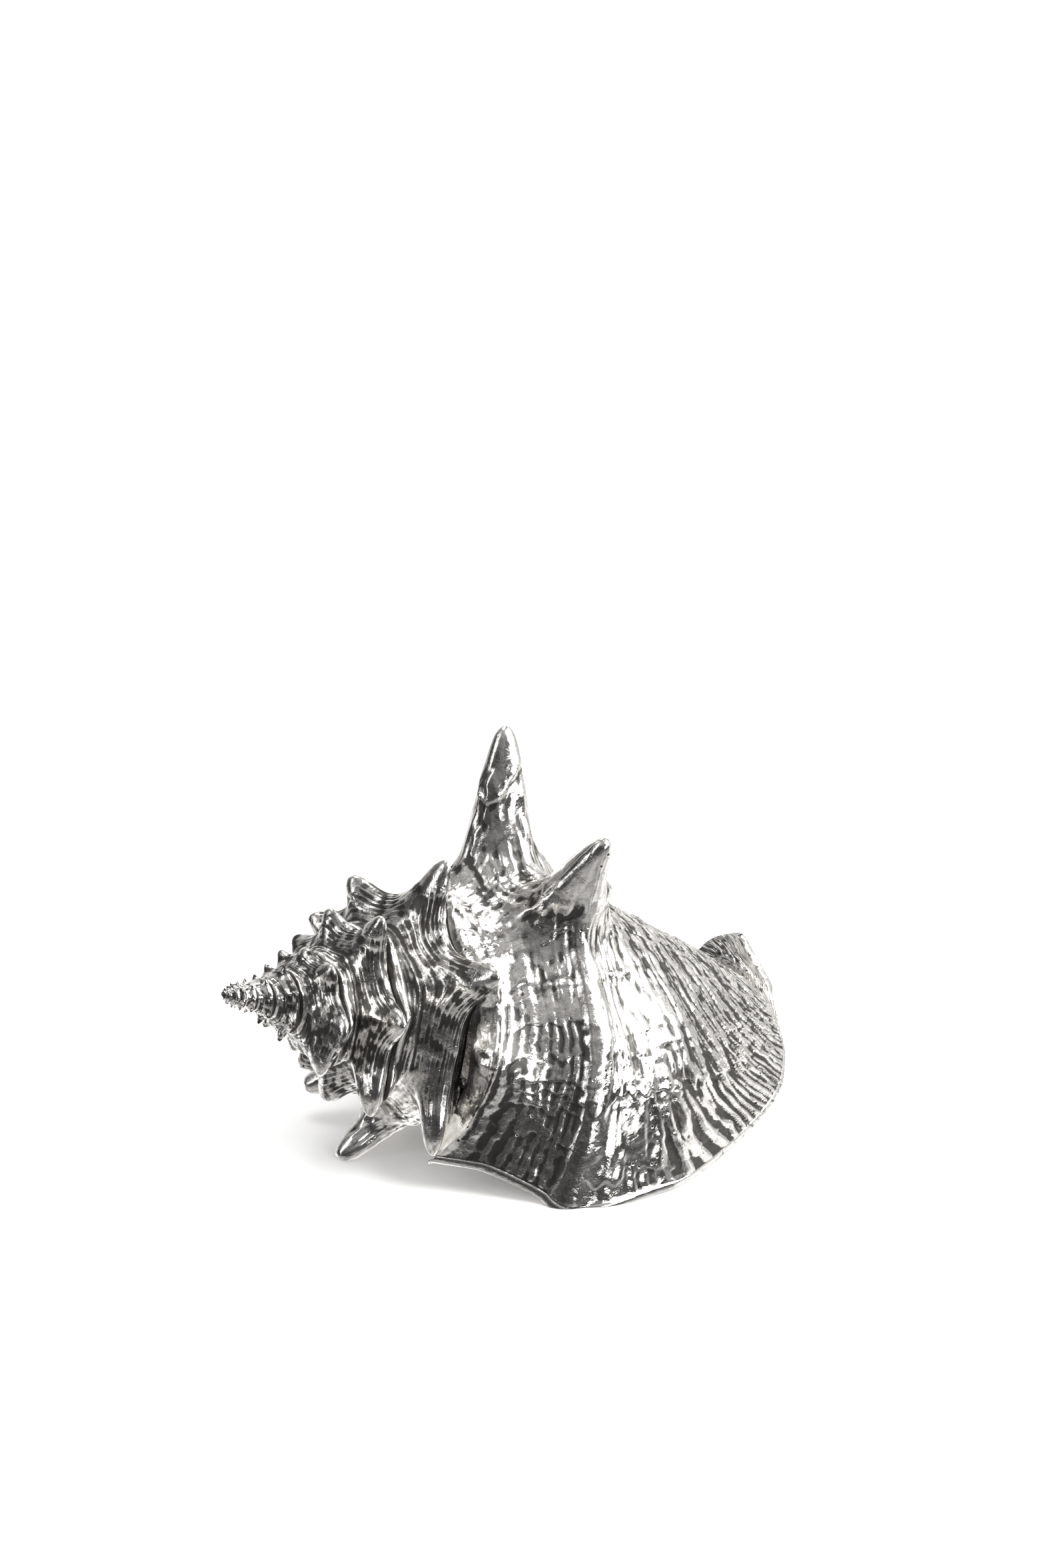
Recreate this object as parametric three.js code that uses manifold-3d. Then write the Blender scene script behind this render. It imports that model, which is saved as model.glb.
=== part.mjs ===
// A large queen conch shell in polished cast metal, lying on the edge of its flared lip, on one
// spine and on the swelling behind its siphonal canal. It is a hollow casting made in sections:
// the coils of the spire meet at their sutures, the last whorl is four shells, and the long spines
// are solid horns joined on flat faces. Nothing on it moves.
//
// The shell grows around a straight coil axis. A place on it is given by two numbers: growth, in
// turns, which is 0 at the lip's edge and negative towards the apex, and lane, which is 0 at the
// upper suture, 2 on the shoulder, 3 where the next whorl joins and 8 at the canal's end.
import * as THREE from "three";
import { mergeVertices } from "three/addons/utils/BufferGeometryUtils.js";
import Module from "manifold-3d";

// The coil. Lengths are millimetres, angles degrees, growth turns.
const WHORL_RATIO = 1.406; // how much larger each turn is than the one before
const LIP_ANGLE = 110; // coil angle of growth 0, from straight up towards the lip's side
const SHOULDER = { along: 139, out: 73.5 }; // distance from the apex, and radius, at growth 0
const SUTURE = { along: 152, out: 68.5 }; // line that the next whorl joins on
const LAST_REACH = 0.14; // how much farther along the axis the last whorl's shoulder sits
const CANAL_END = 285; // distance of the canal's end from the apex
const CANAL_DRAW_BACK = 12; // how far short of it the oldest part of the last whorl ends
const AXIS_PITCH = 16.2; // the apex is raised, so the coil axis slopes down to the canal
const RAMP = { along: 0.52, out: 0.42 }; // hollow middle of the slope above the shoulder
const BODY_OUT = [1, 0.965, 0.86, 0.69, 0.5, 0.33, 0.2]; // radius from shoulder to canal, as a share
const BODY_ALONG = [0, 0.09, 0.28, 0.5, 0.7, 0.87, 1]; // and how far along
const FASCIOLE = 0.62; // extra radius of the swelling under the canal
const SUTURE_LANE = 3;
const SHOULDER_LANE = 2;
const CANAL_LANE = 6.6; // joint between the last whorl's shells and the canal
const LAST_LANE = 8;
const SPIRE_STOPS = [0.55, 1.1, 1.6, 2, 2.6]; // lanes with a row of vertices
const BODY_STOPS = [0.55, 1.1, 1.6, 1.75, 2, 2.6, 3, 3.5, 4.1, 4.7, 5.3, 6, 7, 7.33, 7.66];

// The lip's edge: lane, distance along the axis, coil angle, radius.
const LIP_EDGE = [
  [0, 100, 139, 76],
  [0.6, 100, 139, 76],
  [1, 117, 128.5, 86.5],
  [1.6, 134, 124.5, 100],
  [2, 145, 123, 111.5],
  [3, 165, 117.5, 118],
  [4, 192, 112.5, 115.5],
  [5, 240, 110, 90],
  [6, 272, 101, 69],
  [6.5, 282, 95, 58],
  [7, 289, 86, 47],
  [7.33, 290, 56, 36],
  [7.66, 286, 27, 35],
  [8, 282, 2, 41.5],
];
const FLARE_START = [
  [0, 20],
  [2, 20],
  [5, -20],
  [7, -60],
  [8, -190],
]; // coil angle where the flare begins, by lane
const FLARE_POWER = [
  [0, 1.9],
  [7, 1.9],
  [8, 1],
]; // how late the flare opens, by lane

// A spine's height, as a share, by distance from its middle, as a share of its width: most are
// cones, and a few are round-ended fingers.
const CONE = [
  [0.14, 1],
  [0.28, 0.965],
  [0.45, 0.88],
  [0.6, 0.75],
  [0.8, 0.55],
  [1, 0.37],
  [1.3, 0.2],
  [1.8, 0.08],
  [2.4, 0.025],
  [3.4, 0],
];
const FINGER = [
  [0.14, 1],
  [0.3, 0.98],
  [0.42, 0.92],
  [0.5, 0.82],
  [0.57, 0.68],
  [0.64, 0.5],
  [0.74, 0.34],
  [0.95, 0.19],
  [1.3, 0.08],
  [2, 0.02],
  [3.4, 0],
];
const SPINE_ROUNDING = CONE[0][0];
const SPINE_REACH = CONE[CONE.length - 1][0];
const FINGERS = ["tail", "foot", "crown_1", "ring_2"];

// Spines: turns before the lip's turn, then the tip's distance along the axis, coil angle and
// radius, the width that the profiles above are scaled by, and how far the spine leans round the
// coil from its root, in degrees.
const SPINES = {
  dorsal: [0, 131, -6, 131, 12.5, 0],
  shoulder: [0, 143, 33, 121, 11.5, 0],
  back: [0, 122, -100, 66, 11, 0],
  tail: [0, 97, -140, 78, 13.5, 0],
  foot: [1, 90, 181, 77.5, 13.5, 0],
  crown_1: [1, 99, 133, 75, 14.5, 15],
  crown_2: [1, 98, 61, 80, 10.5, 0],
  crown_3: [1, 92, 15, 77.5, 10, 0],
  crown_4: [1, 76, -27, 57, 9, 0],
  crown_5: [1, 73, -62, 52, 8, 0],
  crown_6: [1, 76, -105, 50, 7.5, 0],
  crown_7: [1, 72, -148, 48, 7.5, 0],
  ring_1: [2, 69, 174, 47, 11, 0],
  ring_2: [2, 68, 130, 57, 15, 16],
  ring_3: [2, 66, 80, 54.5, 8, 0],
  ring_4: [2, 61, 28, 54.5, 8, 0],
  ring_5: [2, 57, -15, 41, 7, 0],
  ring_6: [2, 57, -60, 37, 6, 0],
  ring_7: [2, 58, -105, 36, 6, 0],
  ring_8: [2, 60, -150, 36, 6, 0],
  ring_9: [3, 46, 131, 38.5, 10, 10],
  ring_10: [3, 47, 88, 38.5, 7.5, 0],
  ring_11: [3, 44, 44, 31, 6.5, 0],
  ring_12: [3, 42, 2, 24, 6, 0],
};
const SMALL_SPINES = { from: -3.44, to: -9.4, step: 0.1384, along: 133, out: 93, width: 12.5 };
const SPINE_SPAN = 0.16; // turns over which one spine is felt

// The last whorl's ridge from the shoulder spine to the lip, and the lip's turned-out edge.
const KEEL = { lanes: [1.74, 1.82, 1.98, 2.5], growth: [-0.25, -0.15], height: 2.2 };
const LIP_CURL = { turns: 0.03, lift: 3, power: 1.5 };

// Walls and joints
const WALL = 3.6;
const WALL_TAPER = 0.8; // how the wall thins with the coil towards the apex
const JOINT_GAP = 0.3;
const SUTURE_GAP = 0.7;
const FLOOR_DROP = 98; // the flats it rests on lie this far below the apex
const SPIRE_TIP = { growth: [-9.5, -5], turnSteps: 20, across: 4, apexAlong: 3.4, baseAlong: 16 };
const SPINE_JOINT = 0.45; // where the horns are joined on, as a share of their height
const HORN_BOX = 1.3; // half the side of the block that cuts a horn off, in widths

const NO_SHIFT = new THREE.Vector3();
const TURN = 360;
const RAD = Math.PI / 180;
const METAL = { color: 0xc8c6c2, metalness: 1, roughness: 0.22 };
const DARK_METAL = { color: 0x8c8a86, metalness: 1, roughness: 0.4 };

const wasm = await Module();
wasm.setup();

const size = (growth) => WHORL_RATIO ** growth;
const angleOf = (growth) => LIP_ANGLE + TURN * growth;
const growthAt = (angle, turnsBack) => (angle - LIP_ANGLE) / TURN - turnsBack;

// 0 below a, 1 above b, smooth between.
const ease = (a, b, x) => THREE.MathUtils.smoothstep(x, a, b);

// The last turn reaches farther along the axis than the spire's rule gives.
const reach = (growth) => 1 + LAST_REACH * ease(-1.15, -0.4, growth);

// The spire is slimmer towards the apex, which is blunt, and the last whorl is a little flat on
// its back.
function slimness(growth) {
  const spire = Math.exp(0.12 * Math.min(growth + 1.9, 0)) * (2 - ease(-8.6, -5.4, growth));
  const flat = ease(-0.78, -0.6, growth) * (1 - ease(-0.5, -0.3, growth));
  return spire * (1 - 0.11 * flat);
}

// A curve through a table's points that doesn't overshoot between them.
function tableCurve(rows, column) {
  const at = rows.map((row) => row[0]);
  const value = rows.map((row) => row[column]);
  const rise = at.slice(1).map((x, i) => (value[i + 1] - value[i]) / (x - at[i]));
  const slope = value.map((_, i) => {
    const before = rise[Math.max(i - 1, 0)];
    const after = rise[Math.min(i, rise.length - 1)];
    return before * after <= 0 ? 0 : (2 * before * after) / (before + after);
  });
  return (x) => {
    const last = at.length - 2;
    const i = Math.min(Math.max(at.findIndex((a) => a > x) - 1, 0), last);
    const k = x >= at[at.length - 1] ? last : i;
    const width = at[k + 1] - at[k];
    const f = (x - at[k]) / width;
    return (
      value[k] * (1 + 2 * f) * (1 - f) ** 2 +
      slope[k] * width * f * (1 - f) ** 2 +
      value[k + 1] * f * f * (3 - 2 * f) +
      slope[k + 1] * width * f * f * (f - 1)
    );
  };
}
const lipAlong = tableCurve(LIP_EDGE, 1);
const lipAngle = tableCurve(LIP_EDGE, 2);
const lipOut = tableCurve(LIP_EDGE, 3);
const flareStart = tableCurve(FLARE_START, 1);
const flarePower = tableCurve(FLARE_POWER, 1);
const cone = tableCurve(CONE, 1);
const finger = tableCurve(FINGER, 1);

// A Catmull-Rom value through evenly spaced lanes.
function throughLanes(values, lane) {
  const i = Math.min(Math.floor(lane), values.length - 2);
  const f = lane - i;
  const b = values[i];
  const c = values[i + 1];
  const a = i > 0 ? values[i - 1] : 2 * b - c;
  const d = i + 2 < values.length ? values[i + 2] : 2 * c - b;
  return (
    0.5 *
    (2 * b + (c - a) * f + (2 * a - 5 * b + 4 * c - d) * f * f + (3 * b - a - 3 * c + d) * f ** 3)
  );
}

// Distance along the axis and radius of the whorl's section, before flare and spines.
function section(growth, lane) {
  const scale = size(growth) * reach(growth);
  const shoulderAlong = SHOULDER.along * scale;
  const shoulderOut = SHOULDER.out * size(growth) * slimness(growth);
  const oldScale = size(growth - 1);
  const startAlong = SUTURE.along * oldScale * reach(growth - 1);
  const startOut = SUTURE.out * oldScale * slimness(growth - 1);
  const body = ease(-1.4, -1.02, growth);
  const drawBack = CANAL_DRAW_BACK * (1 - ease(-1, -0.2, growth));
  const end = THREE.MathUtils.lerp(CANAL_END * size(growth), CANAL_END - drawBack, body);
  const under = ease(-1.05, -0.9, growth) * (1 - ease(-0.72, -0.55, growth));
  const along = [startAlong, THREE.MathUtils.lerp(startAlong, shoulderAlong, RAMP.along)];
  const out = [startOut, THREE.MathUtils.lerp(startOut, shoulderOut, RAMP.out)];
  BODY_OUT.forEach((share, i) => {
    const swell = 1 + FASCIOLE * under * ease(3, 5, i);
    along.push(THREE.MathUtils.lerp(shoulderAlong, end, BODY_ALONG[i]));
    out.push(shoulderOut * share * swell);
  });
  along[SUTURE_LANE] = SUTURE.along * scale;
  out[SUTURE_LANE] = SUTURE.out * size(growth) * slimness(growth);
  return [throughLanes(along, lane), throughLanes(out, lane)];
}

// A point from its distance along the axis, coil angle and radius. Its Z is away from the floor.
function around(along, angle, out) {
  return new THREE.Vector3(along, -out * Math.sin(angle * RAD), out * Math.cos(angle * RAD));
}

// The shell without its spines, and the growth stage that the point's coil angle stands for.
function plainShell(growth, lane) {
  const start = flareStart(lane);
  const startGrowth = growthAt(start, 0);
  const done = THREE.MathUtils.clamp((growth - startGrowth) / -startGrowth, 0, 1);
  const angle = done > 0 ? THREE.MathUtils.lerp(start, lipAngle(lane), done) : angleOf(growth);
  const stage = growthAt(angle, 0);
  const flare = done ** flarePower(lane) * ease(0, 0.6, lane);
  const [along, out] = section(stage, lane);
  const point = around(
    THREE.MathUtils.lerp(along, lipAlong(lane), flare),
    angle,
    THREE.MathUtils.lerp(out, lipOut(lane), flare),
  );
  return { point, stage };
}

// The growth at which the shoulder reaches a stage, which the flare shifts a little.
function growthOf(stage) {
  const start = growthAt(flareStart(SHOULDER_LANE), 0);
  if (stage <= start) return stage;
  const end = growthAt(lipAngle(SHOULDER_LANE), 0);
  return start * (1 - (stage - start) / (end - start));
}

// One spine: its growth stage, its root on the shoulder, its rise from root to tip.
function spineFrom(name, [turnsBack, along, angle, out, width, lean]) {
  const stage = growthAt(angle - lean, turnsBack);
  const root = plainShell(stage, SHOULDER_LANE).point;
  const rise = around(along, angle, out).sub(root);
  return { stage, root, rise, width, profile: FINGERS.includes(name) ? finger : cone };
}

function smallSpines() {
  const made = [];
  for (let g = SMALL_SPINES.from; g > SMALL_SPINES.to; g -= SMALL_SPINES.step) {
    const scale = size(g) * slimness(g);
    const root = plainShell(g, SHOULDER_LANE).point;
    const tip = around(SMALL_SPINES.along * size(g), angleOf(g), SMALL_SPINES.out * scale);
    const width = SMALL_SPINES.width * scale;
    made.push({ stage: g, root, rise: tip.sub(root), width, profile: cone });
  }
  return made;
}
const namedSpines = new Map(
  Object.entries(SPINES).map(([name, row]) => [name, spineFrom(name, row)]),
);
const spines = [...namedSpines.values(), ...smallSpines()];

// How far the spines lift a point.
function spineLift(stage, lane) {
  const lift = new THREE.Vector3();
  for (const spine of spines) {
    if (Math.abs(stage - spine.stage) >= SPINE_SPAN) continue;
    const scale = size(spine.stage);
    const shoulderOut = SHOULDER.out * scale * slimness(spine.stage);
    const across = (stage - spine.stage) * 2 * Math.PI * shoulderOut;
    const laneWidth = (lane < SHOULDER_LANE ? 20 : 13) * scale;
    const down = (lane - SHOULDER_LANE) * laneWidth;
    const distance = Math.hypot(Math.hypot(across, down) / spine.width, SPINE_ROUNDING);
    const height = spine.profile(Math.min(distance, SPINE_REACH)) * ease(0.02, 0.8, lane);
    lift.addScaledVector(spine.rise, height);
  }
  return lift;
}

// Soft swellings: three on the last whorl's slope beside the whorl it grew over, and one on the
// shoulder spine's side.
const SWELLINGS = [
  { at: around(117, 97, 57), radius: 15, lift: new THREE.Vector3(-3.6, -8.5, 1) },
  { at: around(108, 93, 58), radius: 8, lift: new THREE.Vector3(-2.2, -3.6, 0.4) },
  { at: around(109, 110, 55), radius: 9, lift: new THREE.Vector3(-1, -5.5, -2) },
  { at: around(163, 37, 86), radius: 12, lift: new THREE.Vector3(2, -4.5, 8.5) },
];
function swell(point, growth) {
  if (growth < -0.5) return point;
  for (const { at, radius, lift } of SWELLINGS) {
    point.addScaledVector(lift, Math.exp(-point.distanceToSquared(at) / radius ** 2));
  }
  return point;
}

// The keel and the lip's turned-out edge, which both lift the surface away from the axis.
function addRidges(point, growth, lane) {
  const [foot, crest, fall, end] = KEEL.lanes;
  const across = ease(foot, crest, lane) * (1 - ease(fall, end, lane));
  const keel = KEEL.height * across * ease(...KEEL.growth, growth);
  const nearEdge = ease(-LIP_CURL.turns, 0, growth) ** LIP_CURL.power;
  const curl = LIP_CURL.lift * nearEdge * ease(0.6, 1.6, lane) * (1 - ease(6.2, 7, lane));
  const outward = new THREE.Vector3(0, point.y, point.z).normalize();
  return point.addScaledVector(outward, keel + curl);
}

// The outer surface. The upper suture follows the whorl before, spines and all.
function outside(growth, lane) {
  const { point, stage } = plainShell(growth, lane);
  point.add(spineLift(stage, lane));
  if (lane < 0.8) {
    point.addScaledVector(spineLift(stage - 1, SUTURE_LANE), 1 - ease(0, 0.8, lane));
  }
  return addRidges(swell(point, growth), growth, lane);
}

// The inner surface: the plain shell moved in by the wall's thickness, so that spines are solid.
// Its direction is taken across a whole lane, which keeps it from folding under the shoulder.
function inside(growth, lane) {
  const wall = WALL * Math.min(1, size(growth + 1) ** WALL_TAPER);
  const lanes = [Math.max(lane - 0.5, 0), Math.min(lane + 0.5, LAST_LANE)];
  const growths = [growth - 0.01, Math.min(growth + 0.01, 0)];
  const alongCoil = plainShell(growths[1], lane).point.sub(plainShell(growths[0], lane).point);
  const acrossCoil = plainShell(growth, lanes[1]).point.sub(plainShell(growth, lanes[0]).point);
  const inward = acrossCoil.cross(alongCoil).normalize();
  return plainShell(growth, lane).point.addScaledVector(inward, wall);
}

// A closed body from its vertices and triangles.
function bodyOf(points, triangles) {
  const geometry = new THREE.BufferGeometry().setFromPoints(points);
  geometry.setIndex(triangles);
  return solidOf(geometry);
}
function solidOf(geometry) {
  const bare = geometry.clone();
  bare.deleteAttribute("normal");
  bare.deleteAttribute("uv");
  const merged = mergeVertices(bare, 1e-3);
  return new wasm.Manifold(
    new wasm.Mesh({
      numProp: 3,
      vertProperties: merged.attributes.position.array,
      triVerts: new Uint32Array(merged.index.array),
    }),
  );
}

// Evenly spaced growths, with the nearest one moved onto the middle of each spine, and of each
// spine of the turn before, which the upper suture follows.
function growthStops(from, to, rows) {
  const stops = Array.from({ length: rows + 1 }, (_, i) => THREE.MathUtils.lerp(from, to, i / rows));
  for (const turnsOn of [1, 0]) {
    for (const { stage } of spines) {
      const own = stage + turnsOn;
      const nearest = Math.round(((own - from) / (to - from)) * rows);
      if (nearest > 0 && nearest < rows) stops[nearest] = growthOf(own);
    }
  }
  return stops;
}

// A section of the shell's wall between two growths and two lanes, shortened by half a joint gap.
function wallSection({ growth, lanes, rows, stops, skin = outside }, shift = NO_SHIFT) {
  const gapTurns = JOINT_GAP / (2 * Math.PI * SHOULDER.out * size(growth[0]));
  const gapLanes = SUTURE_GAP / (20 * size(growth[0]));
  const growths = growthStops(
    growth[0] + gapTurns / 2,
    growth[1] - (growth[1] < 0 ? gapTurns / 2 : 0),
    rows,
  );
  const laneStops = [
    lanes[0] + gapLanes / 2,
    ...stops.filter((lane) => lane > lanes[0] + 0.15 && lane < lanes[1] - 0.15),
    lanes[1] - (lanes[1] < LAST_LANE ? gapLanes / 2 : 0),
  ];
  const across = laneStops.length - 1;
  const points = [];
  for (const face of [skin, inside]) {
    for (const g of growths) {
      for (const lane of laneStops) points.push(face(g, lane).add(shift));
    }
  }
  const row = across + 1;
  const half = row * (rows + 1);
  const triangles = [];
  const quad = (a, b, c, d) => triangles.push(a, b, c, a, c, d);
  for (let i = 0; i < rows; i++) {
    for (let j = 0; j < across; j++) {
      const a = i * row + j;
      quad(a, a + row, a + row + 1, a + 1);
      quad(half + a, half + a + 1, half + a + row + 1, half + a + row);
    }
  }
  for (let i = 0; i < rows; i++) {
    const a = i * row;
    const b = a + across;
    quad(a, half + a, half + a + row, a + row);
    quad(b, b + row, half + b + row, half + b);
  }
  for (let j = 0; j < across; j++) {
    const b = rows * row + j;
    quad(j, j + 1, half + j + 1, half + j);
    quad(b, half + b, half + b + 1, b + 1);
  }
  return bodyOf(points, triangles);
}

// The solid apex: the coil's first whorls as one helical skin, each turn's lower edge shared with
// the next turn's upper edge, closed by fans at the apex and at a hollow base.
function spireTip({ growth, turnSteps, across, apexAlong, baseAlong }) {
  const turns = growth[1] - growth[0];
  const count = Math.round(turns * turnSteps);
  const gap = JOINT_GAP / (2 * Math.PI * SHOULDER.out * size(growth[1]));
  const lanesEnd = SUTURE_LANE - JOINT_GAP / (15 * size(growth[1]));
  const points = [];
  const add = (g, lane) => points.push(outside(g, lane)) - 1;
  const grid = [];
  for (let i = 0; i <= count; i++) {
    const g = growth[0] + (turns - gap) * (i / count);
    grid.push(Array.from({ length: across }, (_, j) => add(g, (SUTURE_LANE * j) / across)));
  }
  for (let i = 0; i <= count; i++) {
    const g = growth[0] + (turns - gap) * (i / count);
    grid[i].push(i + turnSteps < count ? grid[i + turnSteps][0] : add(g, lanesEnd));
  }
  const triangles = [];
  for (let i = 0; i < count; i++) {
    for (let j = 0; j < across; j++) {
      const [a, b, c, d] = [grid[i][j], grid[i + 1][j], grid[i + 1][j + 1], grid[i][j + 1]];
      triangles.push(a, b, c, a, c, d);
    }
  }
  const upper = grid.slice(0, turnSteps + 1).map((row) => row[0]);
  const startSide = grid[0].slice(1, across).reverse();
  const lower = grid.slice(count - turnSteps).map((row) => row[across]);
  const endSide = grid[count].slice(0, across);
  lower[0] = grid[count][0];
  const firstLower = grid[count - turnSteps];
  triangles.forEach((v, k) => {
    if (v === firstLower[across]) triangles[k] = grid[count][0];
  });
  const fan = (loop, centre) => {
    const c = points.push(centre) - 1;
    loop.forEach((v, k) => triangles.push(c, v, loop[(k + 1) % loop.length]));
  };
  fan([...upper, ...startSide].reverse(), new THREE.Vector3(apexAlong, 0, 0));
  fan([...lower, ...endSide.slice(1).reverse()], new THREE.Vector3(baseAlong, 0, 0));
  return bodyOf(points, triangles);
}

// A box that stands on a spine's joint plane, raised by lift, and holds the whole horn above it.
function hornBox({ root, rise, width }, lift) {
  const length = rise.length() + 4 * width;
  const side = 2 * HORN_BOX * width;
  const box = new THREE.BoxGeometry(side, side, length);
  box.translate(0, 0, length / 2 + lift);
  const direction = rise.clone().normalize();
  box.applyQuaternion(
    new THREE.Quaternion().setFromUnitVectors(new THREE.Vector3(0, 0, 1), direction),
  );
  const foot = root.clone().addScaledVector(rise, SPINE_JOINT);
  return solidOf(box.translate(foot.x, foot.y, foot.z));
}

// Everything below the flats that the shell rests on.
function floorBlock() {
  const span = 800;
  const block = new THREE.BoxGeometry(span, span, span).translate(0, 0, -FLOOR_DROP - span / 2);
  return solidOf(block.rotateY(-AXIS_PITCH * RAD));
}

// The solid core on the coil axis: a tapered, twisted-looking bar turned in one piece.
function columellaSolid() {
  const profile = [
    [0, 104],
    [9, 104],
    [10, 130],
    [7, 180],
    [5, 225],
    [3.4, 262],
    [0, 262],
  ].map(([out, along]) => new THREE.Vector2(out, along));
  const bar = new THREE.LatheGeometry(profile, 16);
  return solidOf(bar.rotateZ(-Math.PI / 2));
}

const plainSkin = (growth, lane) => plainShell(growth, lane).point;
const spire = [0, SUTURE_LANE];
const body = [0, CANAL_LANE];
const WALL_SECTIONS = {
  whorl_5: { growth: [-5, -4], lanes: spire, rows: 30, stops: SPIRE_STOPS },
  whorl_4: { growth: [-4, -3], lanes: spire, rows: 36, stops: SPIRE_STOPS },
  whorl_3: { growth: [-3, -2], lanes: spire, rows: 50, stops: SPIRE_STOPS },
  whorl_2: { growth: [-2, -1], lanes: spire, rows: 64, stops: SPIRE_STOPS },
  ventral_wall: { growth: [-1, -0.62], lanes: body, rows: 28, stops: BODY_STOPS },
  dorsal_wall: { growth: [-0.62, -0.26], lanes: body, rows: 30, stops: BODY_STOPS },
  outer_lip: { growth: [-0.26, 0], lanes: body, rows: 26, stops: BODY_STOPS },
  siphonal_canal: {
    growth: [-1, 0],
    lanes: [CANAL_LANE, LAST_LANE],
    rows: 46,
    stops: BODY_STOPS,
  },
  inner_lip: {
    growth: [-1.32, -1],
    lanes: [SUTURE_LANE + 0.7, LAST_LANE],
    rows: 14,
    stops: BODY_STOPS,
    skin: plainSkin,
  },
};

// Which wall section each horn stands on. The named spines left out are cast with the wall.
const HORNS = {
  dorsal_spine: ["dorsal", "dorsal_wall"],
  shoulder_spine: ["shoulder", "outer_lip"],
  tail_spine: ["tail", "ventral_wall"],
  foot_spine: ["foot", "ventral_wall"],
  crown_spine_1: ["crown_1", "ventral_wall"],
  crown_spine_2: ["crown_2", "whorl_2"],
  crown_spine_3: ["crown_3", "whorl_2"],
  crown_spine_4: ["crown_4", "whorl_2"],
  crown_spine_5: ["crown_5", "whorl_2"],
  crown_spine_6: ["crown_6", "whorl_2"],
  crown_spine_7: ["crown_7", "whorl_2"],
};

function buildSolids() {
  const solids = new Map();
  for (const [name, rule] of Object.entries(WALL_SECTIONS)) solids.set(name, wallSection(rule));
  solids.set("spire_tip", spireTip(SPIRE_TIP));
  solids.set("columella", columellaSolid());

  // The lip's hind end is cut back all round where it passes the wall it grew over.
  let lip = solids.get("outer_lip");
  for (const side of [-1, 1]) {
    for (const axis of ["x", "y", "z"]) {
      const shift = new THREE.Vector3();
      shift[axis] = side * JOINT_GAP;
      lip = lip.subtract(wallSection(WALL_SECTIONS.ventral_wall, shift));
    }
  }
  solids.set("outer_lip", largest(lip));

  for (const [name, [spineName, wallName]] of Object.entries(HORNS)) {
    const spine = namedSpines.get(spineName);
    const wall = solids.get(wallName);
    solids.set(name, largest(wall.intersect(hornBox(spine, JOINT_GAP))));
    solids.set(wallName, largest(wall.subtract(hornBox(spine, 0))));
  }
  const floor = floorBlock();
  for (const [name, solid] of solids) solids.set(name, solid.subtract(floor));
  return solids;
}

// A cut can leave specks: only the largest body of a piece is kept.
function largest(solid) {
  const bodies = solid.decompose();
  return bodies.reduce((best, one) => (one.volume() > best.volume() ? one : best));
}

function meshOf(name, solid) {
  const { vertProperties, triVerts } = solid.getMesh();
  const geometry = new THREE.BufferGeometry();
  geometry.setAttribute("position", new THREE.BufferAttribute(vertProperties, 3));
  geometry.setIndex(new THREE.BufferAttribute(triVerts, 1));
  geometry.computeVertexNormals();
  const hidden = name === "columella" || name === "inner_lip";
  const mesh = new THREE.Mesh(geometry, new THREE.MeshStandardMaterial(hidden ? DARK_METAL : METAL));
  mesh.name = name;
  return mesh;
}

// The coil lies inside one turned group, so that its axis slopes down to the canal.
const coil = new THREE.Group();
for (const [name, solid] of buildSolids()) coil.add(meshOf(name, solid));
coil.rotation.y = AXIS_PITCH * RAD;

// The part's origin is on the floor, under the middle of the shell.
const conch = new THREE.Group();
conch.add(coil);
conch.updateMatrixWorld(true);
const box = new THREE.Box3().setFromObject(conch, true);
const middle = box.getCenter(new THREE.Vector3());
coil.position.set(-middle.x, -middle.y, -box.min.z);

export default conch;
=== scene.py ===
"""A large queen conch shell in polished cast metal, lying with its opening down.

The shell's surface grows around a straight coil axis. A place on it is given by its growth, in
turns, 0 at the lip's edge and negative towards the apex, and its lane, 0 at the upper suture, 2 on
the shoulder, 3 where the next whorl joins and 8 at the canal's end. Lengths here are millimetres
in the coil's own frame, angles are degrees; meshes are written in metres in the part's frame.
"""

import math

import bpy
import numpy as np
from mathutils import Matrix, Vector


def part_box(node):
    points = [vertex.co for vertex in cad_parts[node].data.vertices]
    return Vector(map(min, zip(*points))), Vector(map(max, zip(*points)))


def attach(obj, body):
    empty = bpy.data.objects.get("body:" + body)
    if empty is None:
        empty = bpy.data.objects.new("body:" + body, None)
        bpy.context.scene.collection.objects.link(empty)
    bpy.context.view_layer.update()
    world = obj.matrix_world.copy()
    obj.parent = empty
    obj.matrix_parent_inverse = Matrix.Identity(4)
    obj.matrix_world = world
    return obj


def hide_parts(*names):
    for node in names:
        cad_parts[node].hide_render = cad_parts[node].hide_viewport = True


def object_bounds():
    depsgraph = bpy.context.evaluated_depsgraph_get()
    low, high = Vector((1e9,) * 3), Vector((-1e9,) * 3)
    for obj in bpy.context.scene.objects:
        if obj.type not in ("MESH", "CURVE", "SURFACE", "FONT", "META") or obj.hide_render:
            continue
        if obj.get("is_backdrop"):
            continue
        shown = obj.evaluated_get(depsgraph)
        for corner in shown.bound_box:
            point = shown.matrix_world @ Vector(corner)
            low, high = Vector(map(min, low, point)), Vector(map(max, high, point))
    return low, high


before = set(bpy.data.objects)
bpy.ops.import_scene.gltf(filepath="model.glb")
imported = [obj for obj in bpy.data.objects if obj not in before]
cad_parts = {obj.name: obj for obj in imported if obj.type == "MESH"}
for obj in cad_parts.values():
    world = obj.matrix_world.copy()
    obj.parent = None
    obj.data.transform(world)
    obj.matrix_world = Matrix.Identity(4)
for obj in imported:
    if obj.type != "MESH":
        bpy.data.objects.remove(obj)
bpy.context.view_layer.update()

# ---------------------------------------------------------------- the shell's proportions
WHORL_RATIO = 1.406
LIP_ANGLE = 110
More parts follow.
